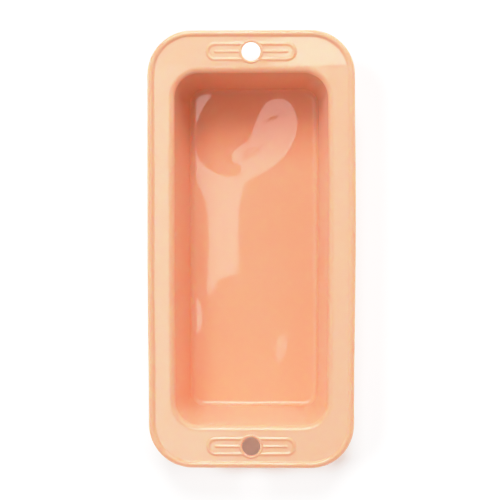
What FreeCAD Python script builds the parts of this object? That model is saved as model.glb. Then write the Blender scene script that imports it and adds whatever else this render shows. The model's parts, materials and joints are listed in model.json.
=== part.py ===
"""Silicone loaf mould with a steel wire moulded into its rim.

The mould rests on its base and opens upwards. Its origin is the centre of the base, +Z is up, the long side
runs along Y and the short side along X. Two solids make the object: the silicone moulding, which is tub,
flange and rim bead in one, and the closed wire that the bead is moulded around. Lengths are in millimetres.
"""

import FreeCAD, Part
import os

import Sketcher
from FreeCAD import Vector

# name, value, what it is
DIMENSIONS = [
    ("mould_length", 285.0, "over the rim bead, along Y"),
    ("mould_width", 136.0, "over the rim bead, along X"),
    ("rim_corner", 29.0, "outer corner radius of the rim, in plan"),
    ("bead_diameter", 4.6, "round bead along the edge of the flange"),
    ("bead_blend", 0.8, "hollow fillet between bead and flange"),
    ("flange_thickness", 2.4, "flat flange between mouth and bead"),
    ("cavity_length", 230.0, "mouth of the cavity along Y, before its edge is rounded"),
    ("cavity_width", 101.0, "mouth of the cavity along X, before its edge is rounded"),
    ("cavity_corner", 16.5, "corner radius of the mouth, in plan"),
    ("cavity_depth", 65.0, "flange face down to the cavity floor"),
    ("draft_angle", 6.0, "degrees that each wall leans out from vertical"),
    ("wall_thickness", 2.0, "side walls, square to their face"),
    ("floor_thickness", 2.2, "under the cavity floor"),
    ("mouth_round", 3.6, "rounding from the flange into the cavity"),
    ("floor_round", 3.5, "rounding from the walls into the cavity floor"),
    ("under_round", 2.5, "rounding under the flange, where the wall leaves it"),
    ("base_round", 5.0, "rounding around the outside of the base"),
    ("foot_band", 8.0, "flat band that the mould rests on, beside the base rounding"),
    ("foot_recess", 0.5, "depth of the recess inside that band"),
    ("foot_corner", 6.0, "corner radius of that recess"),
    ("hole_radius", 6.3, "hanging hole through each end of the flange"),
    ("hole_inset", 14.1, "centre of that hole to the outer edge of the rim"),
    ("ring_radius", 7.0, "middle of the raised ring around each hole"),
    ("ring_section", 0.8, "radius of the ring's half-round section"),
    ("rib_section", 1.0, "radius of the grip ribs' section"),
    ("rib_rise", 0.7, "how far the grip ribs stand above the flange"),
    ("grip_half_length", 28.4, "hole centre to the round end of the outer rib"),
    ("grip_half_height", 4.95, "hole centre to the straight sides of the outer rib"),
    ("middle_half_length", 24.0, "hole centre to the round end of the middle rib"),
    ("wire_diameter", 2.4, "stiffening wire inside the bead"),
]

# Heights and sizes that several features share, in terms of the sheet's cells.
FLANGE_TOP = "(sheet.floor_thickness + sheet.cavity_depth)"
FLANGE_UNDER = f"({FLANGE_TOP} - sheet.flange_thickness)"
BEAD_HEIGHT = f"({FLANGE_TOP} - sheet.flange_thickness / 2)"
RIB_HEIGHT = f"({FLANGE_TOP} + sheet.rib_rise - sheet.rib_section)"
WALL_ACROSS = "(sheet.wall_thickness / cos(sheet.draft_angle * 1 deg))"
LEAN_TO_UNDER = "(sheet.flange_thickness * tan(sheet.draft_angle * 1 deg))"
LEAN_TO_BASE = f"({FLANGE_TOP} * tan(sheet.draft_angle * 1 deg))"
TUB_GROWTH = f"({WALL_ACROSS} - {LEAN_TO_UNDER})"
FOOT_INSET = f"({LEAN_TO_BASE} - {WALL_ACROSS} + sheet.base_round + sheet.foot_band)"
RIM_WIDTH = "(sheet.mould_width - sheet.bead_diameter)"
RIM_LENGTH = "(sheet.mould_length - sheet.bead_diameter)"
RIM_CORNER = "(sheet.rim_corner - sheet.bead_diameter / 2)"
HOLE_Y = "(sheet.mould_length / 2 - sheet.hole_inset)"

TOLERANCE = 1e-4

doc = FreeCAD.newDocument("loaf_mould")
sheet = doc.addObject("Spreadsheet::Sheet", "sheet")
for row, (name, value, meaning) in enumerate(DIMENSIONS, start=1):
    sheet.set(f"A{row}", name)
    sheet.set(f"B{row}", str(value))
    sheet.set(f"C{row}", meaning)
    sheet.setAlias(f"B{row}", name)
scratch = doc.addObject("App::FeaturePython", "solver")
scratch.addProperty("App::PropertyFloat", "value")
doc.recompute()


def solve(expression):
    """The value of an expression of the sheet, as a plain number."""
    scratch.setExpression("value", expression)
    doc.recompute([scratch])
    return scratch.value


def new_body(label):
    """A PartDesign body, whose label names its file."""
    body = doc.addObject("PartDesign::Body", label)
    body.Label = label
    body.Placement = FreeCAD.Placement()
    return body


def plane(body, role):
    """One of the body's own origin planes."""
    return next(feature for feature in body.Origin.OriginFeatures if feature.Role == role)


def place(feature, body, role, **offsets):
    """Attaches a sketch or primitive to an origin plane, moved in that plane's own x, y and z."""
    feature.AttachmentSupport = [(plane(body, role), "")]
    feature.MapMode = "FlatFace"
    for axis, expression in offsets.items():
        feature.setExpression(f"AttachmentOffset.Base.{axis}", f"{expression} * 1 mm")


def new_sketch(body, name, role="XY_Plane", **offsets):
    """An empty sketch on an origin plane."""
    sketch = body.newObject("Sketcher::SketchObject", name)
    place(sketch, body, role, **offsets)
    return sketch


def bind(sketch, name, expression, kind, *geometry):
    """Adds a driving length or radius to a sketch and ties it to an expression of the sheet."""
    index = sketch.addConstraint(Sketcher.Constraint(kind, *geometry, solve(expression)))
    sketch.renameConstraint(index, name)
    sketch.setExpression(f"Constraints.{name}", f"{expression} * 1 mm")


def add_line(sketch, start, end):
    """A straight edge between two points of the sketch, and its index."""
    return sketch.addGeometry(Part.LineSegment(Vector(*start, 0), Vector(*end, 0)))


def add_arc(sketch, centre, radius, start, sweep):
    """An arc that starts at an angle and turns anticlockwise, in degrees, and its index."""
    circle = Part.Circle(Vector(*centre, 0), Vector(0, 0, 1), radius)
    first = FreeCAD.Units.Quantity(f"{start} deg").getValueAs("rad").Value
    turn = FreeCAD.Units.Quantity(f"{sweep} deg").getValueAs("rad").Value
    return sketch.addGeometry(Part.ArcOfCircle(circle, first, first + turn))


def join_round(sketch, edges):
    """Makes each edge of a closed outline tangent to the next."""
    for here, after in zip(edges, edges[1:] + edges[:1]):
        sketch.addConstraint(Sketcher.Constraint("Tangent", here, 2, after, 1))


def rounded_rectangle(sketch, width, length, corner):
    """A rectangle with round corners, centred on the sketch's origin."""
    half_width, half_length, radius = solve(width) / 2, solve(length) / 2, solve(corner)
    x, y = half_width - radius, half_length - radius
    south = add_line(sketch, (-x, -half_length), (x, -half_length))
    south_east = add_arc(sketch, (x, -y), radius, 270, 90)
    east = add_line(sketch, (half_width, -y), (half_width, y))
    north_east = add_arc(sketch, (x, y), radius, 0, 90)
    north = add_line(sketch, (x, half_length), (-x, half_length))
    north_west = add_arc(sketch, (-x, y), radius, 90, 90)
    west = add_line(sketch, (-half_width, y), (-half_width, -y))
    south_west = add_arc(sketch, (-x, -y), radius, 180, 90)
    join_round(sketch, [south, south_east, east, north_east, north, north_west, west, south_west])
    sketch.addConstraint(Sketcher.Constraint("Horizontal", south))
    sketch.addConstraint(Sketcher.Constraint("Vertical", east))
    for arc in (north_east, north_west, south_west):
        sketch.addConstraint(Sketcher.Constraint("Equal", south_east, arc))
    sketch.addConstraint(Sketcher.Constraint("Symmetric", south, 1, north, 1, -1, 1))
    bind(sketch, "width", width, "DistanceX", west, 1, east, 1)
    bind(sketch, "length", length, "DistanceY", south, 1, north, 1)
    bind(sketch, "corner", corner, "Radius", south_east)


def slot_outline(sketch, half_length, half_height):
    """A slot shape with two round ends, centred on the sketch's origin and long in x."""
    radius = solve(half_height)
    x = solve(half_length) - radius
    south = add_line(sketch, (-x, -radius), (x, -radius))
    east = add_arc(sketch, (x, 0), radius, 270, 180)
    north = add_line(sketch, (x, radius), (-x, radius))
    west = add_arc(sketch, (-x, 0), radius, 90, 180)
    join_round(sketch, [south, east, north, west])
    sketch.addConstraint(Sketcher.Constraint("Horizontal", south))
    sketch.addConstraint(Sketcher.Constraint("Symmetric", south, 1, north, 1, -1, 1))
    bind(sketch, "radius", half_height, "Radius", east)
    bind(sketch, "straight", f"(2 * ({half_length} - {half_height}))", "DistanceX", south, 1, south, 2)


def half_slot_outline(sketch, half_length, radius):
    """The upper half of a slot shape, closed along the sketch's x axis, which a turn makes into a capsule."""
    round_end, end = solve(radius), solve(half_length)
    x = end - round_end
    axis = add_line(sketch, (-end, 0), (end, 0))
    east = add_arc(sketch, (x, 0), round_end, 0, 90)
    top = add_line(sketch, (x, round_end), (-x, round_end))
    west = add_arc(sketch, (-x, 0), round_end, 90, 90)
    sketch.addConstraint(Sketcher.Constraint("Coincident", axis, 2, east, 1))
    sketch.addConstraint(Sketcher.Constraint("Tangent", east, 2, top, 1))
    sketch.addConstraint(Sketcher.Constraint("Tangent", top, 2, west, 1))
    sketch.addConstraint(Sketcher.Constraint("Coincident", west, 2, axis, 1))
    for arc in (east, west):
        sketch.addConstraint(Sketcher.Constraint("PointOnObject", arc, 3, -1))
    sketch.addConstraint(Sketcher.Constraint("Equal", east, west))
    sketch.addConstraint(Sketcher.Constraint("Symmetric", axis, 1, axis, 2, -1, 1))
    bind(sketch, "radius", radius, "Radius", east)
    bind(sketch, "length", f"(2 * {half_length})", "DistanceX", axis, 1, axis, 2)


def circle(sketch, radius, x=None, y=None):
    """A circle at (x, y) of the sketch, or on the axis for a coordinate that isn't given."""
    at = Vector(solve(x) if x else 0, solve(y) if y else 0, 0)
    index = sketch.addGeometry(Part.Circle(at, Vector(0, 0, 1), solve(radius)))
    bind(sketch, "radius", radius, "Radius", index)
    if x:
        bind(sketch, "x", x, "DistanceX", -1, 1, index, 3)
    else:
        sketch.addConstraint(Sketcher.Constraint("PointOnObject", index, 3, -2))
    if y:
        bind(sketch, "y", y, "DistanceY", -1, 1, index, 3)
    else:
        sketch.addConstraint(Sketcher.Constraint("PointOnObject", index, 3, -1))


def extrude(body, kind, name, profile, length, taper=None, downwards=True):
    """A pad or pocket of a sketch, with walls that lean in as it goes."""
    feature = body.newObject(f"PartDesign::{kind}", name)
    feature.Profile = profile
    feature.Type = "Length"
    feature.setExpression("Length", f"{length} * 1 mm")
    # A pad runs along its sketch's normal and a pocket runs against it.
    feature.Reversed = downwards == (kind == "Pad")
    if taper:
        feature.setExpression("TaperAngle", f"-{taper} * 1 deg")
    return feature


def sweep(body, kind, name, section, path):
    """A section carried along a closed path."""
    feature = body.newObject(f"PartDesign::{kind}", name)
    feature.Profile = section
    feature.Spine = (path, [])
    feature.Mode = "Frenet"
    return feature


def revolve(body, name, section, axis):
    """A section turned right round an axis of its own sketch."""
    feature = body.newObject("PartDesign::Revolution", name)
    feature.Profile = section
    feature.ReferenceAxis = (section, [axis])
    feature.Angle = 360
    return feature


def rim_sweep(body, kind, name, diameter):
    """A round rod, or a round channel, that follows the middle of the rim bead."""
    path = new_sketch(body, f"{name}_path", z=BEAD_HEIGHT)
    rounded_rectangle(path, RIM_WIDTH, RIM_LENGTH, RIM_CORNER)
    section = new_sketch(body, f"{name}_section", role="XZ_Plane")
    circle(section, f"({diameter} / 2)", x=f"({RIM_WIDTH} / 2)", y=BEAD_HEIGHT)
    return sweep(body, kind, name, section, path)


def edges_at(feature, height, inside, outside=(0, 0)):
    """Names of the edges at one height, between two centred rectangles given as (width, length)."""
    names = []
    for index, edge in enumerate(feature.Shape.Edges, start=1):
        box = edge.BoundBox
        width, length = 2 * max(-box.XMin, box.XMax), 2 * max(-box.YMin, box.YMax)
        level = abs(box.ZMin - height) < TOLERANCE and abs(box.ZMax - height) < TOLERANCE
        within = width < inside[0] and length < inside[1]
        if level and within and (width > outside[0] or length > outside[1]):
            names.append(f"Edge{index}")
    return names


def fillet(body, name, base, edges, radius):
    """Rounds the named edges of a feature."""
    feature = body.newObject("PartDesign::Fillet", name)
    feature.Base = (base, edges)
    feature.setExpression("Radius", f"{radius} * 1 mm")
    doc.recompute()
    return feature


def around_mouth(share):
    """(width, length) of a rectangle that lies a share of the way from the mouth to the bead's middle."""
    return tuple(
        (1 - share) * solve(f"sheet.cavity_{side}") + share * solve(rim)
        for side, rim in (("width", RIM_WIDTH), ("length", RIM_LENGTH))
    )


def make_tub(body):
    """Flange, tub and cavity, with their edges rounded."""
    flange_outline = new_sketch(body, "flange_outline", z=FLANGE_UNDER)
    rounded_rectangle(flange_outline, RIM_WIDTH, RIM_LENGTH, RIM_CORNER)
    extrude(body, "Pad", "flange", flange_outline, "sheet.flange_thickness", downwards=False)

    tub_outline = new_sketch(body, "tub_outline", z=FLANGE_UNDER)
    rounded_rectangle(
        tub_outline,
        f"(sheet.cavity_width + 2 * {TUB_GROWTH})",
        f"(sheet.cavity_length + 2 * {TUB_GROWTH})",
        f"(sheet.cavity_corner + {TUB_GROWTH})",
    )
    extrude(body, "Pad", "tub", tub_outline, FLANGE_UNDER, taper="sheet.draft_angle")

    cavity_outline = new_sketch(body, "cavity_outline", z=FLANGE_TOP)
    rounded_rectangle(cavity_outline, "sheet.cavity_width", "sheet.cavity_length", "sheet.cavity_corner")
    cavity = extrude(
        body, "Pocket", "cavity", cavity_outline, "sheet.cavity_depth", taper="sheet.draft_angle"
    )
    doc.recompute()

    rounded = cavity
    for name, height in (
        ("mouth_round", FLANGE_TOP),
        ("floor_round", "sheet.floor_thickness"),
        ("under_round", FLANGE_UNDER),
        ("base_round", "0"),
    ):
        edges = edges_at(rounded, solve(height), inside=around_mouth(0.5))
        rounded = fillet(body, name, rounded, edges, f"sheet.{name}")


def make_bead(body):
    """The round bead along the edge of the flange, which a hollow fillet blends in above and below."""
    bead = rim_sweep(body, "AdditivePipe", "rim_bead", "sheet.bead_diameter")
    doc.recompute()
    seams = []
    for height in (FLANGE_TOP, FLANGE_UNDER):
        seams += edges_at(bead, solve(height), inside=around_mouth(1), outside=around_mouth(0.5))
    fillet(body, "bead_blend", bead, seams, "sheet.bead_blend")


def make_foot(body):
    """The shallow recess under the base, which leaves a flat band to rest on."""
    outline = new_sketch(body, "foot_outline")
    rounded_rectangle(
        outline,
        f"(sheet.cavity_width - 2 * {FOOT_INSET})",
        f"(sheet.cavity_length - 2 * {FOOT_INSET})",
        "sheet.foot_corner",
    )
    extrude(body, "Pocket", "foot_recess", outline, "sheet.foot_recess", downwards=False)


def make_grip(body):
    """At each end of the flange, a hanging hole inside a raised ring, and the grip ribs beside it."""
    ring_section = new_sketch(body, "hole_ring_section", role="YZ_Plane")
    hole_axis = add_line(ring_section, (solve(HOLE_Y), 0), (solve(HOLE_Y), solve(FLANGE_TOP)))
    ring_section.toggleConstruction(hole_axis)
    ring_section.addConstraint(Sketcher.Constraint("Vertical", hole_axis))
    ring_section.addConstraint(Sketcher.Constraint("PointOnObject", hole_axis, 1, -1))
    bind(ring_section, "axis_y", HOLE_Y, "DistanceX", -1, 1, hole_axis, 1)
    bind(ring_section, "axis_height", FLANGE_TOP, "DistanceY", hole_axis, 1, hole_axis, 2)
    circle(ring_section, "sheet.ring_section", x=f"({HOLE_Y} + sheet.ring_radius)", y=FLANGE_TOP)
    ring = revolve(body, "hole_ring", ring_section, "Axis0")

    outer_path = new_sketch(body, "outer_rib_path", y=HOLE_Y, z=RIB_HEIGHT)
    slot_outline(outer_path, "sheet.grip_half_length", "sheet.grip_half_height")
    outer_section = new_sketch(body, "outer_rib_section", role="YZ_Plane")
    circle(outer_section, "sheet.rib_section", x=f"({HOLE_Y} + sheet.grip_half_height)", y=RIB_HEIGHT)
    outer_rib = sweep(body, "AdditivePipe", "outer_rib", outer_section, outer_path)

    middle_half = new_sketch(body, "middle_rib_half", y=HOLE_Y, z=RIB_HEIGHT)
    half_slot_outline(middle_half, "sheet.middle_half_length", "sheet.rib_section")
    middle_rib = revolve(body, "middle_rib", middle_half, "H_Axis")

    hole_outline = new_sketch(body, "hole_outline", z=f"({FLANGE_TOP} + sheet.ring_section)")
    circle(hole_outline, "sheet.hole_radius", y=HOLE_Y)
    hole = extrude(
        body, "Pocket", "hanging_hole", hole_outline, "(sheet.ring_section + sheet.flange_thickness)"
    )
    doc.recompute()

    other_end = body.newObject("PartDesign::Mirrored", "other_end")
    other_end.Originals = [ring, outer_rib, middle_rib, hole]
    other_end.MirrorPlane = (plane(body, "XZ_Plane"), [""])
    body.Tip = other_end
    doc.recompute()


def silicone_moulding():
    """Tub, flange, rim bead and grips, moulded in one."""
    body = new_body("silicone_moulding")
    make_tub(body)
    make_bead(body)
    make_foot(body)
    make_grip(body)
    rim_sweep(body, "SubtractivePipe", "wire_channel", "sheet.wire_diameter")
    return body


def rim_wire():
    """Closed ring of round steel wire, which fills its channel in the bead."""
    body = new_body("rim_wire")
    rim_sweep(body, "AdditivePipe", "wire", "sheet.wire_diameter")
    return body


pieces = [silicone_moulding(), rim_wire()]
doc.recompute()

for item in doc.Objects:
    if {"Invalid", "Error"} & set(item.State):
        raise RuntimeError(f"{item.Name} failed: {item.State}")
    if item.TypeId in ("PartDesign::Pocket", "PartDesign::SubtractivePipe"):
        if item.Shape.Volume >= item.BaseFeature.Shape.Volume:
            raise RuntimeError(f"{item.Name} cuts nothing away")

os.makedirs("parts", exist_ok=True)
for piece in pieces:
    shape = piece.Shape
    if shape.isNull() or not shape.isValid() or len(shape.Solids) != 1:
        raise RuntimeError(f"{piece.Label} isn't one valid solid")
    shape.exportStep(f"parts/{piece.Label}.step")
    print(piece.Label, round(shape.Volume / 1000, 2), "cm3")
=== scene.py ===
"""Looks of the silicone loaf mould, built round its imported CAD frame.

The moulding is remade as one fine closed skin. Rounded-rectangle loops follow its cross-section from the
cavity floor, over the mouth and the rim bead, down to the base. The grips at both ends are a fine grid with
a round hanging hole. The rim wire is remade to lie in its channel. Lengths are metres.
"""

import json
import math

import bmesh
import bpy
import numpy as np
from mathutils import Matrix, Vector


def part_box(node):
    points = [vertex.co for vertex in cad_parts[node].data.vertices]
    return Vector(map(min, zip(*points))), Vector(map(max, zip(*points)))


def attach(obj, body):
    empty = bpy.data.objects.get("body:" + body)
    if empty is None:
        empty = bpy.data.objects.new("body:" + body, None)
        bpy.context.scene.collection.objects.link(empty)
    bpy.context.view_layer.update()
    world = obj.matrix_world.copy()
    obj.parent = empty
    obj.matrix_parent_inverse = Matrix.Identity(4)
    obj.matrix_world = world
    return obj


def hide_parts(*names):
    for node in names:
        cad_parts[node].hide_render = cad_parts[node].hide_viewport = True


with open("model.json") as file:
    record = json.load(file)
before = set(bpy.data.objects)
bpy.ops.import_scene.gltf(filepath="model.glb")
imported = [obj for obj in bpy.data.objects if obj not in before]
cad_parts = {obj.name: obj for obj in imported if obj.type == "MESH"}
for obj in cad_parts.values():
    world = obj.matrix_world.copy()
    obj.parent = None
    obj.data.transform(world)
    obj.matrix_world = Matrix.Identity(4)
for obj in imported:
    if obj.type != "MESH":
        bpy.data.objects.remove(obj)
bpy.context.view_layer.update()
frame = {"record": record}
mounts = {mount["name"]: mount for mount in frame["record"]["mounts"]}
MM = 0.001

# -------------------------------------------------------------------------------- the cross-section
_, body_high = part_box("silicone_moulding")
wire_low, wire_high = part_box("rim_wire")
half_width, half_length = body_high.x, body_high.y
wire_radius = (wire_high.z - wire_low.z) / 2
bead_z = (wire_high.z + wire_low.z) / 2
bead_radius = half_width - (wire_high.x - wire_radius)
flange_under = mounts["flange_underside"]["pos_m"][2]
flange_top = 2 * bead_z - flange_under
hole_y = mounts["hanging_hole_back"]["pos_m"][1]
hole_radius = mounts["hanging_hole_back"]["dims"]["r_mm"] * MM

# The CAD model's own sizes, which the frame doesn't give.
MOUTH = (50.5 * MM, 115.0 * MM)      # half width and half length of the mouth
MOUTH_CORNER = 16.5 * MM
RIM_CORNER = 29.0 * MM
FLOOR_Z = 2.2 * MM
WALL = 2.0 * MM
DRAFT = math.radians(6.0)
MOUTH_ROUND = 3.6 * MM
FLOOR_ROUND = 3.5 * MM
UNDER_ROUND = 2.5 * MM
BASE_ROUND = 5.0 * MM
FOOT = (32.45 * MM, 96.95 * MM)      # half width and half length of the recess under the base
FOOT_CORNER = 6.0 * MM
FOOT_RECESS = 0.5 * MM

# Sizes that only the looks have.
BEAD_BLEND = 1.6 * MM                # radius of the blend from flange to bead, softer than the CAD's
CHANNEL_GAP = 0.02 * MM              # how much wider than the wire the channel's corners are
EDGE_EASE = 0.25 * MM                # on the recess's step and on both edges of a hanging hole

# A loop's corners turn about one centre: that of the tub, of the rim, or of the foot recess.
TUB = (MOUTH[0] - MOUTH_CORNER, MOUTH[1] - MOUTH_CORNER)
RIM = (half_width - RIM_CORNER, half_length - RIM_CORNER)
FOOT_TURN = (FOOT[0] - FOOT_CORNER, FOOT[1] - FOOT_CORNER)
bead_corner = RIM_CORNER - bead_radius

# ---------------------------------------------------------------------------------------- the grips
RING_RADIUS = 7.0 * MM
RING_HALF_WIDTH = 1.0 * MM
RING_RISE = 0.65 * MM
RIB_HALF_WIDTH = 1.25 * MM
RIB_RISE = 0.5 * MM
GRIP_HALF_HEIGHT = 4.95 * MM
GRIP_STRAIGHT = 23.45 * MM           # hole centre to where the outer rib starts to turn
MIDDLE_END = 23.2 * MM               # hole centre to the middle of the middle rib's round end
MIDDLE_HALF_WIDTH = 1.05 * MM
RIB_FADE = 0.8 * RING_HALF_WIDTH     # how far out from the ring's middle the ribs come to their full height

# ----------------------------------------------------------------------------- how finely it is cut
SQUARE = 9.0 * MM                    # half side of the square round each hole, which a round patch fills
GRIP_REACH = 31.0 * MM               # half length of the finely cut stretch of each end
COLUMNS = ((SQUARE, 18), (21.5 * MM, 8), (GRIP_REACH, 24))   # x reached, and how many cells it takes
END_CELLS = 3                        # from there to where a corner starts
CORNER_CELLS = 16
SIDE_CELLS = 56
CHANNEL_SIDES = 12
WIRE_SIDES = 16
RING_CELLS = 12                      # from a hole's edge to its square
RIB_BAND = 1.5 * MM                  # finely cut on each side of a rib
SLACK = 0.01 * MM                    # allowed where points on the edge of a square are looked for
WELD = 0.002 * MM                    # points this close are one corner of the mesh


def graded(stops, start=0.0):
    """Values from start through each (value, cells), evenly spaced between them."""
    values = [start]
    for stop, cells in stops:
        values += list(np.linspace(values[-1], stop, cells + 1)[1:])
    return np.array(values)


def end_columns(centre_x):
    """x of each point along a loop's end, where centre_x is where its corners start."""
    short_of_corner = 0.95 * centre_x
    reach = min(GRIP_REACH, short_of_corner)
    stops = [(stop * reach / GRIP_REACH, cells) for stop, cells in COLUMNS]
    half = graded(stops + [(centre_x, END_CELLS)])
    return np.concatenate([-half[:0:-1], half])


def rounded_loop(centre, radius, z):
    """Points of a rounded rectangle at height z, anticlockwise from the west end of its south side."""
    columns, rows = end_columns(centre[0]), np.linspace(-centre[1], centre[1], SIDE_CELLS + 1)
    x, y = centre[0] + radius, centre[1] + radius
    straights = ((columns, -y), (x, rows), (columns[::-1], y), (-x, rows[::-1]))
    turns = ((1, -1), (1, 1), (-1, 1), (-1, -1))
    points = []
    for quarter, (straight, (side_x, side_y)) in enumerate(zip(straights, turns)):
        points.append(np.column_stack(np.broadcast_arrays(*straight)))
        angle = np.linspace(quarter - 1, quarter, CORNER_CELLS + 1)[1:-1] * math.pi / 2
        middle = np.array([side_x * centre[0], side_y * centre[1]])
        points.append(middle + radius * np.column_stack([np.cos(angle), np.sin(angle)]))
    flat = np.concatenate(points)
    return np.column_stack([flat, np.full(len(flat), z)])


def arc(centre, radius, start, end, cells):
    """(s, z) points round a centre, from a start angle to an end angle in degrees."""
    angle = np.radians(np.linspace(start, end, cells + 1))
    return [(centre[0] + radius * math.cos(a), centre[1] + radius * math.sin(a)) for a in angle]


def wall_line(offset, low, high, cells):
    """(s, z) points up a drafted wall, crowded towards both ends. Its s is offset at the flange's top."""
    share = (1 - np.cos(np.linspace(0, math.pi, cells + 1))) / 2
    return [(offset - (flange_top - z) * math.tan(DRAFT), z) for z in low + share * (high - low)]


def wall_arc(offset, level, radius, side, cells):
    """The rounding where a drafted wall meets a level plane, plane to wall, and its z on the wall.

    side says where the rounding's centre is: +1 outside the wall or -1 inside, and +1 above or -1 below.
    """
    centre_z = level + side[1] * radius
    wall_s = offset - (flange_top - centre_z) * math.tan(DRAFT)
    centre = (wall_s + side[0] * radius / math.cos(DRAFT), centre_z)
    start = -90 * side[1]
    normal = math.degrees(-DRAFT) if side[0] < 0 else 180 - math.degrees(DRAFT)
    turn = (normal - start + 180) % 360 - 180
    points = arc(centre, radius, start, start + turn, cells)
    return points, points[-1][1]


# ------------------------------------------------------------------------------ the skin's stations
def tub_stations():
    """(centre, corner radius, z) of the loops inside the tub, from the floor's edge to the flange."""
    floor, floor_top = wall_arc(MOUTH_CORNER, FLOOR_Z, FLOOR_ROUND, (-1, 1), cells=8)
    mouth, mouth_foot = wall_arc(MOUTH_CORNER, flange_top, MOUTH_ROUND, (1, -1), cells=9)
    wall = wall_line(MOUTH_CORNER, floor_top, mouth_foot, cells=14)
    return [(TUB, s, z) for s, z in floor + wall[1:-1] + mouth[::-1]]


def outer_stations():
    """The loops from the flange's underside down the outside of the tub to the edge of its flat base."""
    offset = MOUTH_CORNER + WALL / math.cos(DRAFT)
    under, under_foot = wall_arc(offset, flange_under, UNDER_ROUND, (1, -1), cells=6)
    base, base_top = wall_arc(offset, 0.0, BASE_ROUND, (-1, 1), cells=8)
    wall = wall_line(offset, base_top, under_foot, cells=10)[::-1]
    return [(TUB, s, z) for s, z in under + wall[1:-1] + base[::-1]]


def bead_stations():
    """The loops from the flange's top, over the blend and round the bead, to the flange's underside."""
    rise = flange_top - bead_z + BEAD_BLEND
    away = math.sqrt((bead_radius + BEAD_BLEND) ** 2 - rise**2)
    lean = math.degrees(math.atan2(rise, -away))
    blend = arc((bead_corner - away, flange_top + BEAD_BLEND), BEAD_BLEND, -90, lean - 180, 4)
    top = blend[:-1] + arc((bead_corner, bead_z), bead_radius, lean, 0, 9)
    return [(RIM, s, z) for s, z in top + [(s, 2 * bead_z - z) for s, z in top[-2::-1]]]


def flange_rows(near, far, z):
    """The loops across the flange, whose rows are close together on the grip ribs."""
    rows = graded(
        [
            (hole_y - SQUARE, 2),
            (hole_y - GRIP_HALF_HEIGHT - RIB_BAND, 4),
            (hole_y - GRIP_HALF_HEIGHT + RIB_BAND, 8),
            (hole_y - RIB_BAND, 3),
            (hole_y + RIB_BAND, 8),
            (hole_y + GRIP_HALF_HEIGHT - RIB_BAND, 3),
            (hole_y + GRIP_HALF_HEIGHT + RIB_BAND, 8),
            (hole_y + SQUARE, 4),
            (RIM[1] + far, 2),
        ],
        start=TUB[1] + near,
    )
    share = (rows - rows[0]) / (rows[-1] - rows[0])
    stations = []
    for part in share:
        centre = tuple(tub + part * (rim - tub) for tub, rim in zip(TUB, RIM))
        stations.append((centre, near + part * (far - near), z))
    return stations


def foot_stations():
    """The loops across the flat foot band and up the small step into the recess."""
    foot, inside = FOOT_CORNER + EDGE_EASE, FOOT_CORNER - EDGE_EASE
    edges = [(foot + EDGE_EASE, 0.0), (foot, 0.0)]
    edges += arc((foot, EDGE_EASE), EDGE_EASE, -90, -180, 3)[1:]
    edges += arc((inside, FOOT_RECESS - EDGE_EASE), EDGE_EASE, 0, 90, 3)
    return [(FOOT_TURN, s, z) for s, z in edges + [(inside - EDGE_EASE, FOOT_RECESS)]]


# ----------------------------------------------------------------------------------- grips and hole
def crown(distance, reach):
    """1 on a rib's centre line, falling in a round crown and a soft foot to 0 at reach."""
    t = np.clip(np.abs(distance) / reach, 0, 1)
    return (1 - t**2) ** 1.5


def grip_rise(x, y):
    """How far the ring and the grip ribs stand above the flange at x, y from the hole's centre."""
    from_hole = np.hypot(x, y)
    ring = RING_RISE * crown(from_hole - RING_RADIUS, RING_HALF_WIDTH)
    beyond = np.maximum(np.abs(x) - GRIP_STRAIGHT, 0)
    outer = RIB_RISE * crown(np.hypot(beyond, y) - GRIP_HALF_HEIGHT, RIB_HALF_WIDTH)
    past_end = np.maximum(np.abs(x) - MIDDLE_END, 0)
    middle = RIB_RISE * crown(np.hypot(past_end, y), MIDDLE_HALF_WIDTH)
    power = 6   # sums of high powers take the higher of two heights, with a smooth change between them
    ribs = (outer**power + middle**power) ** (1 / power)
    outside_ring = np.clip((from_hole - RING_RADIUS) / RIB_FADE, 0, 1)
    return ((ribs * outside_ring) ** power + ring**power) ** (1 / power)


def hole_patch(rows, z, sign):
    """Rings from a square of the flange's points in to the edge of the hole, at the end that sign gives."""
    columns = end_columns(RIM[0])
    columns = columns[np.abs(columns) < SQUARE + SLACK]
    rows = rows[np.abs(rows) < SQUARE + SLACK]
    south = [(x, rows[0]) for x in columns[:-1]]
    east = [(columns[-1], y) for y in rows[:-1]]
    north = [(x, rows[-1]) for x in columns[:0:-1]]
    west = [(columns[0], y) for y in rows[:0:-1]]
    square = np.array(south + east + north + west)
    square = np.concatenate([square, square[:1]])
    circle = hole_radius * square / np.hypot(*square.T)[:, None]
    crowding = 1.25   # over 1, so the rings are closer together at the hole
    share = np.linspace(0, 1, RING_CELLS + 1) ** crowding
    flat = circle[None] + share[:, None, None] * (square - circle)[None]
    lift = np.full(flat.shape[:2] + (1,), z)
    return np.concatenate([flat[..., :1], sign * (hole_y + flat[..., 1:]), lift], axis=2)


# ------------------------------------------------------------------------------ how the rubber sits
def ease(value, reach):
    """0 at 0, rising smoothly to 1 where value comes to reach."""
    t = np.clip(value / reach, 0, 1)
    return t * t * (3 - 2 * t)


# How far the long sides bow inwards at their ends, and over what length they come to that.
WIDEST_RIGHT = 20 * MM               # y where the right side doesn't bow
BOW_RIGHT_BACK = (0.6 * MM, 100 * MM)
BOW_RIGHT_FRONT = (1.0 * MM, 125 * MM)
BOW_LEFT_FRONT = (0.75 * MM, 110 * MM)


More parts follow.
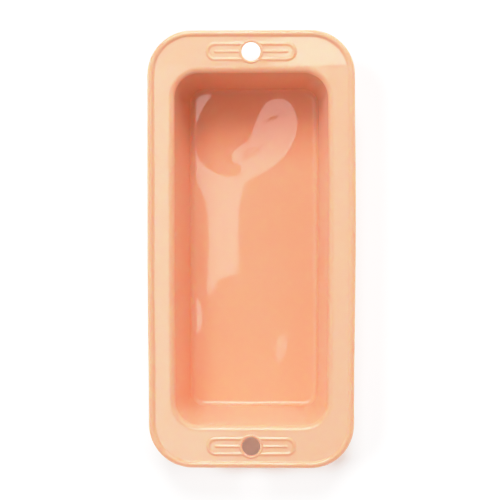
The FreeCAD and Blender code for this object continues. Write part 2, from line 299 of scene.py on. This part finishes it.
def settle(points):
    """Points of the moulding as the soft rubber really sits: its long sides bow a little."""
    x, y = points[..., 0], points[..., 1]
    to_right = (x / half_width + 1) / 2
    right = -BOW_RIGHT_BACK[0] * ease(y - WIDEST_RIGHT, BOW_RIGHT_BACK[1])
    right -= BOW_RIGHT_FRONT[0] * ease(WIDEST_RIGHT - y, BOW_RIGHT_FRONT[1])
    left = BOW_LEFT_FRONT[0] * ease(-y, BOW_LEFT_FRONT[1])
    moved = points.copy()
    moved[..., 0] += to_right * right + (1 - to_right) * left
    return moved


# The soft floor's shallow waves: x, y, reach across and along in mm, turn in degrees, rise in mm.
WAVES = (
    (-3, 81, 22, 17, 35, -1.0),
    (-31, -46, 9, 12, 20, 0.15),
    (9, -70, 8, 16, -10, 0.28),
)
UNDER_SHARE = 0.4                    # how much of them the recess under the base follows
UNDER_EDGE = 12 * MM                 # how far inside the recess's edge it follows them fully
WAVE_HEIGHT = 18 * MM                # how far up the walls they fade out


def waved(points, share=1.0):
    """Points of the floor and the foot of its walls, lifted by a share of the floor's waves."""
    raised = points.copy()
    x, y, z = points[..., 0] / MM, points[..., 1] / MM, points[..., 2]
    for middle_x, middle_y, across, along, turn, rise in WAVES:
        cos, sin = math.cos(math.radians(turn)), math.sin(math.radians(turn))
        u = ((x - middle_x) * cos + (y - middle_y) * sin) / across
        v = ((y - middle_y) * cos - (x - middle_x) * sin) / along
        wave = rise * MM * np.exp(-(u**2 + v**2) / 2)
        raised[..., 2] += share * wave * (1 - ease(z - FLOOR_Z, WAVE_HEIGHT))
    return raised


# ------------------------------------------------------------------------------- the skin's patches
def sheet_patch(stations):
    """The closed band of quads that joins one loop to the next."""
    loops = np.array([rounded_loop(*station) for station in stations])
    return np.concatenate([loops, loops[:, :1]], axis=1)


def plate_patch(loop):
    """The grid that fills a loop, blended from its four sides."""
    half = CORNER_CELLS // 2
    across = 2 * (sum(cells for _, cells in COLUMNS) + END_CELLS) + CORNER_CELLS
    along = SIDE_CELLS + CORNER_CELLS
    ring = np.concatenate([np.roll(loop, half, axis=0)] * 2)
    south = ring[: across + 1]
    east = ring[across : across + along + 1]
    north = ring[across + along : 2 * across + along + 1][::-1]
    west = ring[2 * across + along : 2 * (across + along) + 1][::-1]
    u = np.linspace(0, 1, across + 1)[None, :, None]
    v = np.linspace(0, 1, along + 1)[:, None, None]
    lines = (1 - v) * south[None] + v * north[None] + (1 - u) * west[:, None] + u * east[:, None]
    corners = (1 - v) * ((1 - u) * south[0] + u * south[-1]) + v * ((1 - u) * north[0] + u * north[-1])
    return lines - corners


def add_patch(mesh, points, flip=False, keep=None):
    """Adds a grid of points to a bmesh as quads, leaving out those whose middle keep says no to."""
    rows, columns = points.shape[:2]
    verts = [[mesh.verts.new(p) for p in row] for row in settle(points)]
    middles = (points[:-1, :-1] + points[1:, 1:]) / 2
    for i in range(rows - 1):
        for j in range(columns - 1):
            if keep is not None and not keep(middles[i, j]):
                continue
            quad = [verts[i][j], verts[i][j + 1], verts[i + 1][j + 1], verts[i + 1][j]]
            mesh.faces.new(quad[::-1] if flip else quad)


def off_square(point):
    """True outside the squares that the hole patches fill."""
    return abs(point[0]) > SQUARE or abs(abs(point[1]) - hole_y) > SQUARE


def lifted(points):
    """Points of the flange's top, raised where the grips are."""
    raised = points.copy()
    raised[..., 2] += grip_rise(points[..., 0], np.abs(points[..., 1]) - hole_y)
    return raised


def hole_wall(top, under, sign):
    """The inside of a hanging hole, with both its edges eased."""
    up = np.array([0, 0, 1.0])
    centre = np.array([0, sign * hole_y, 0])
    inward = (centre - top) * np.array([1, 1, 0])
    inward = inward / np.linalg.norm(inward, axis=1)[:, None]
    rings = [top]
    for angle in (30, 60, 90):
        part = math.radians(angle)
        rings.append(top + EDGE_EASE * (math.sin(part) * inward - (1 - math.cos(part)) * up))
    for angle in (90, 60, 30):
        part = math.radians(angle)
        rings.append(under + EDGE_EASE * (math.sin(part) * inward + (1 - math.cos(part)) * up))
    return np.array(rings + [under])


def tube(radius, sides):
    """A closed round tube along the middle of the rim bead, as a grid of points."""
    section = arc((bead_corner, bead_z), radius, 0, 360, sides)
    return sheet_patch([(RIM, s, z) for s, z in section])


def underside_patch(loop):
    """The recess under the base, inside a loop, which follows the floor's waves but for its edge."""
    points = plate_patch(loop)
    in_x = ease(FOOT[0] - np.abs(points[..., 0]), UNDER_EDGE)
    in_y = ease(FOOT[1] - np.abs(points[..., 1]), UNDER_EDGE)
    return waved(points, UNDER_SHARE * in_x * in_y)


def build_skin():
    """The whole moulding as one closed mesh."""
    mesh = bmesh.new()
    tub, bead, outer, foot = tub_stations(), bead_stations(), outer_stations(), foot_stations()
    over = flange_rows(tub[-1][1], bead[0][1], flange_top)
    beneath = flange_rows(outer[0][1], bead[-1][1], flange_under)

    add_patch(mesh, waved(plate_patch(rounded_loop(*tub[0]))))
    add_patch(mesh, waved(sheet_patch(tub)))
    add_patch(mesh, lifted(sheet_patch(over)), keep=off_square)
    add_patch(mesh, sheet_patch(bead))
    add_patch(mesh, sheet_patch(beneath), flip=True, keep=off_square)
    add_patch(mesh, sheet_patch(outer))
    add_patch(mesh, sheet_patch([outer[-1]] + foot))
    add_patch(mesh, underside_patch(rounded_loop(*foot[-1])), flip=True)

    rows = np.array([station[0][1] + station[1] for station in over]) - hole_y
    for sign in (1, -1):
        top = lifted(hole_patch(rows, flange_top, sign))
        under = hole_patch(rows, flange_under, sign)
        add_patch(mesh, top)
        add_patch(mesh, under)
        add_patch(mesh, hole_wall(top[0], under[0], sign))
    bmesh.ops.remove_doubles(mesh, verts=mesh.verts, dist=WELD)
    bmesh.ops.recalc_face_normals(mesh, faces=mesh.faces)
    # The wire's channel is added last, because its faces look inwards, to the wire.
    add_patch(mesh, tube(wire_radius + CHANNEL_GAP, CHANNEL_SIDES), flip=True)
    bmesh.ops.remove_doubles(mesh, verts=mesh.verts, dist=WELD)
    return mesh


def finish_mesh(mesh, name):
    """A bmesh as a smooth-shaded object of the scene."""
    data = bpy.data.meshes.new(name)
    mesh.to_mesh(data)
    mesh.free()
    data.polygons.foreach_set("use_smooth", [True] * len(data.polygons))
    made = bpy.data.objects.new(name, data)
    bpy.context.scene.collection.objects.link(made)
    return made


skin = finish_mesh(build_skin(), "silicone_skin")
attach(skin, "root")
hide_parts("silicone_moulding")

wire_mesh = bmesh.new()
add_patch(wire_mesh, tube(wire_radius, WIRE_SIDES), flip=True)
bmesh.ops.remove_doubles(wire_mesh, verts=wire_mesh.verts, dist=WELD)
bmesh.ops.recalc_face_normals(wire_mesh, faces=wire_mesh.faces)
wire = finish_mesh(wire_mesh, "steel_rim_wire")
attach(wire, "root")
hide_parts("rim_wire")


# ---------------------------------------------------------------------------------------- materials
def srgb(red, green, blue):
    """A colour given as 0 to 255 on screen, as the linear values that a shader takes."""
    shares = [c / 255 for c in (red, green, blue)]
    linear = [((c + 0.055) / 1.055) ** 2.4 if c > 0.04 else c / 12.92 for c in shares]
    return (*linear, 1.0)


class Nodes:
    """A new material's node tree, with short calls to add and link its nodes."""

    def __init__(self, name):
        self.material = bpy.data.materials.new(name)
        self.material.use_nodes = True
        self.tree = self.material.node_tree
        self.shader = self.tree.nodes["Principled BSDF"]

    def add(self, kind, **values):
        """A node of a kind, whose inputs are set by name, with spaces as underscores."""
        node = self.tree.nodes.new(f"ShaderNode{kind}")
        for name, value in values.items():
            node.inputs[name.replace("_", " ")].default_value = value
        return node

    def link(self, output, target):
        self.tree.links.new(output, target)


def noise(nodes, scale, detail):
    """Noise in object space, in cells of about 1 / scale metres."""
    place = nodes.add("TexCoord")
    made = nodes.add("TexNoise", Scale=scale, Detail=detail)
    nodes.link(place.outputs["Object"], made.inputs["Vector"])
    return made.outputs["Fac"]


def ranged(nodes, value, low, high):
    """A value from 0 to 1 moved to the range from low to high."""
    made = nodes.add("MapRange", To_Min=low, To_Max=high)
    nodes.link(value, made.inputs["Value"])
    return made.outputs["Result"]


def silicone():
    """Glossy peach silicone that lets some light through."""
    nodes = Nodes("peach_silicone")
    shader = nodes.shader
    mix = nodes.add("Mix")
    mix.data_type = "RGBA"
    mix.inputs["A"].default_value = srgb(253, 180, 145)
    mix.inputs["B"].default_value = srgb(254, 185, 150)
    nodes.link(noise(nodes, 22.0, 3.0), mix.inputs["Factor"])
    nodes.link(mix.outputs["Result"], shader.inputs["Base Color"])
    nodes.link(ranged(nodes, noise(nodes, 60.0, 4.0), 0.01, 0.03), shader.inputs["Roughness"])
    shader.inputs["IOR"].default_value = 1.41
    shader.inputs["Sheen Weight"].default_value = 0.05
    shader.inputs["Sheen Roughness"].default_value = 0.4
    shader.inputs["Subsurface Weight"].default_value = 1.0
    shader.inputs["Subsurface Radius"].default_value = (1.0, 0.3, 0.15)
    shader.inputs["Subsurface Scale"].default_value = 0.0005
    bump = nodes.add("Bump", Strength=1.0, Distance=0.000001)
    nodes.link(noise(nodes, 160.0, 2.0), bump.inputs["Height"])
    nodes.link(bump.outputs["Normal"], shader.inputs["Normal"])
    return nodes.material


def steel():
    """Drawn steel wire."""
    nodes = Nodes("drawn_steel")
    shader = nodes.shader
    shader.inputs["Metallic"].default_value = 1.0
    nodes.link(ranged(nodes, noise(nodes, 1500.0, 4.0), 0.25, 0.42), shader.inputs["Roughness"])
    shader.inputs["Base Color"].default_value = srgb(190, 190, 194)
    return nodes.material


def stage_paint():
    """Plain white floor."""
    nodes = Nodes("stage_white")
    nodes.shader.inputs["Base Color"].default_value = (0.92, 0.92, 0.92, 1)
    nodes.shader.inputs["Roughness"].default_value = 0.7
    return nodes.material


skin.data.materials.append(silicone())
wire.data.materials.append(steel())

# ----------------------------------------------------------------------------- stage, camera, light
FLOOR_HALF_WIDTH = 6.0
floor_mesh = bmesh.new()
bmesh.ops.create_grid(floor_mesh, x_segments=1, y_segments=1, size=FLOOR_HALF_WIDTH)
floor = finish_mesh(floor_mesh, "stage_floor")
floor.data.materials.append(stage_paint())

scene = bpy.context.scene
scene.view_settings.view_transform = "Standard"

# A camera's soft shoulder: what is darker than KNEE stays, and the rest rises to white at CURVE_WHITE.
CURVE_WHITE = 1.6
KNEE = 0.78
SHOULDER = ((KNEE, KNEE), (1.0, 0.89), (1.3, 0.955))
scene.view_settings.use_curve_mapping = True
mapping = scene.view_settings.curve_mapping
mapping.white_level = (CURVE_WHITE, CURVE_WHITE, CURVE_WHITE)
for level, shown in SHOULDER:
    mapping.curves[3].points.new(level / CURVE_WHITE, shown)
for point in mapping.curves[3].points:
    point.handle_type = "VECTOR"
mapping.update()

CAMERA_DISTANCE = 1.15
LENS_MM = 127.4
SENSOR_MM = 36.0
LEAN_RIGHT = math.radians(1.85)
LEAN_BACK = math.radians(0.8)
AIM_X = -0.9 * MM
AIM_Y = -0.45 * MM
aim = Vector((AIM_X, AIM_Y, flange_top))
away = Vector((math.tan(LEAN_RIGHT), math.tan(LEAN_BACK), 1)).normalized()
camera_data = bpy.data.cameras.new("camera")
camera_data.sensor_width = SENSOR_MM
camera_data.lens = LENS_MM
camera = bpy.data.objects.new("camera", camera_data)
scene.collection.objects.link(camera)
camera.location = aim + CAMERA_DISTANCE * away
# Image up is +Y: the camera's own axes are set directly, because it looks almost straight down.
right = Vector((0, 1, 0)).cross(away).normalized()
up = away.cross(right)
camera.rotation_euler = Matrix((right, up, away)).transposed().to_euler()
scene.camera = camera


mould_only = bpy.data.collections.new("mould_only")
mould_only.objects.link(skin)
mould_only.objects.link(wire)
floor_only = bpy.data.collections.new("floor_only")
floor_only.objects.link(floor)


def softbox(name, place, size, radiance, target=None):
    """A rectangular soft light that shines on the mould alone, and faces a target or straight down."""
    data = bpy.data.lights.new(name, "AREA")
    data.shape = "RECTANGLE"
    data.size, data.size_y = size
    data.energy = radiance * math.pi * size[0] * size[1]
    made = bpy.data.objects.new(name, data)
    made.location = place
    if target is not None:
        made.rotation_euler = (Vector(place) - Vector(target)).to_track_quat("Z", "Y").to_euler()
    scene.collection.objects.link(made)
    made.light_linking.receiver_collection = mould_only


CEILING = 4.0
GLOSS = 4.5                          # radiance of a ceiling panel whose share is 1


def ceiling_box(name, west, east, south, north, share):
    """A softbox in the ceiling, between two x and two y, with a share of GLOSS."""
    middle = ((west + east) / 2, (south + north) / 2, CEILING)
    softbox(name, middle, (east - west, north - south), share * GLOSS)


# Panels that the gloss shows: west, east, south, north, share of GLOSS.
PANELS = {
    "left_panel": (-0.5, -0.33, -1.0, 0.48, 1.0),
    "right_panel": (0.09, 0.3, -0.53, 0.47, 0.6),
    "back_panel": (-0.33, 0.09, 0.43, 0.475, 1.0),
    "back_left_panel": (-0.5, -0.06, 0.48, 0.9, 0.8),
    "back_right_panel": (-0.06, 0.3, 0.475, 0.9, 1.8),
    "front_left_panel": (-0.33, -0.17, -0.9, -0.53, 1.0),
    "front_right_panel": (-0.17, 0.3, -0.9, -0.53, 0.6),
    "strip_panel": (-0.255, -0.165, -0.13, 0.43, 1.0),
    "corner_panel": (-0.33, -0.255, 0.27, 0.43, 1.0),
    "far_left_panel": (-1.5, -0.5, -1.0, 0.9, 0.3),
    "far_back_panel": (-0.5, 0.3, 0.9, 1.7, 1.2),
}
for panel, edges_and_share in PANELS.items():
    ceiling_box(panel, *edges_and_share)

# Softboxes that face the mould: place, size, radiance.
SOFTBOXES = {
    "key_box": ((-0.5, 1.6, 2.4), (1.2, 1.2), 12),
    "fill_box": ((1.2, 1.8, 2.1), (1.2, 1.2), 4.5),
    "left_side": ((-1.8, 0.2, 1.0), (1.6, 1.6), 1.7),
    "right_side": ((1.8, 0.9, 0.5), (1.6, 0.8), 2.0),
    "back_side": ((0, 2.0, 0.6), (1.6, 0.8), 2.0),
    "front_side": ((0, -1.9, 0.4), (1.6, 0.8), 1.5),
}
for box, (place, size, radiance) in SOFTBOXES.items():
    softbox(box, place, size, radiance, target=(0, 0, 0))


def floor_sun(name, tilt_x, tilt_y, share, softness):
    """A distant light on the floor alone, from the x and y sides that its tilts in degrees lean to."""
    data = bpy.data.lights.new(name, "SUN")
    data.energy = share * math.pi
    data.angle = math.radians(softness)
    made = bpy.data.objects.new(name, data)
    lean = Vector((math.tan(math.radians(tilt_x)), math.tan(math.radians(tilt_y)), 1))
    made.rotation_euler = lean.to_track_quat("Z", "Y").to_euler()
    scene.collection.objects.link(made)
    made.light_linking.receiver_collection = floor_only


floor_sun("floor_left", -22, 9, 0.76, 14)
floor_sun("floor_right", 22, 9, 0.43, 14)
floor_sun("floor_back", 0, 28, 0.95, 16)

WORLD_STRENGTH = 0.16
world = bpy.data.worlds.new("world")
scene.world = world
world.use_nodes = True
background = world.node_tree.nodes["Background"]
background.inputs["Color"].default_value = (1, 1, 1, 1)
background.inputs["Strength"].default_value = WORLD_STRENGTH
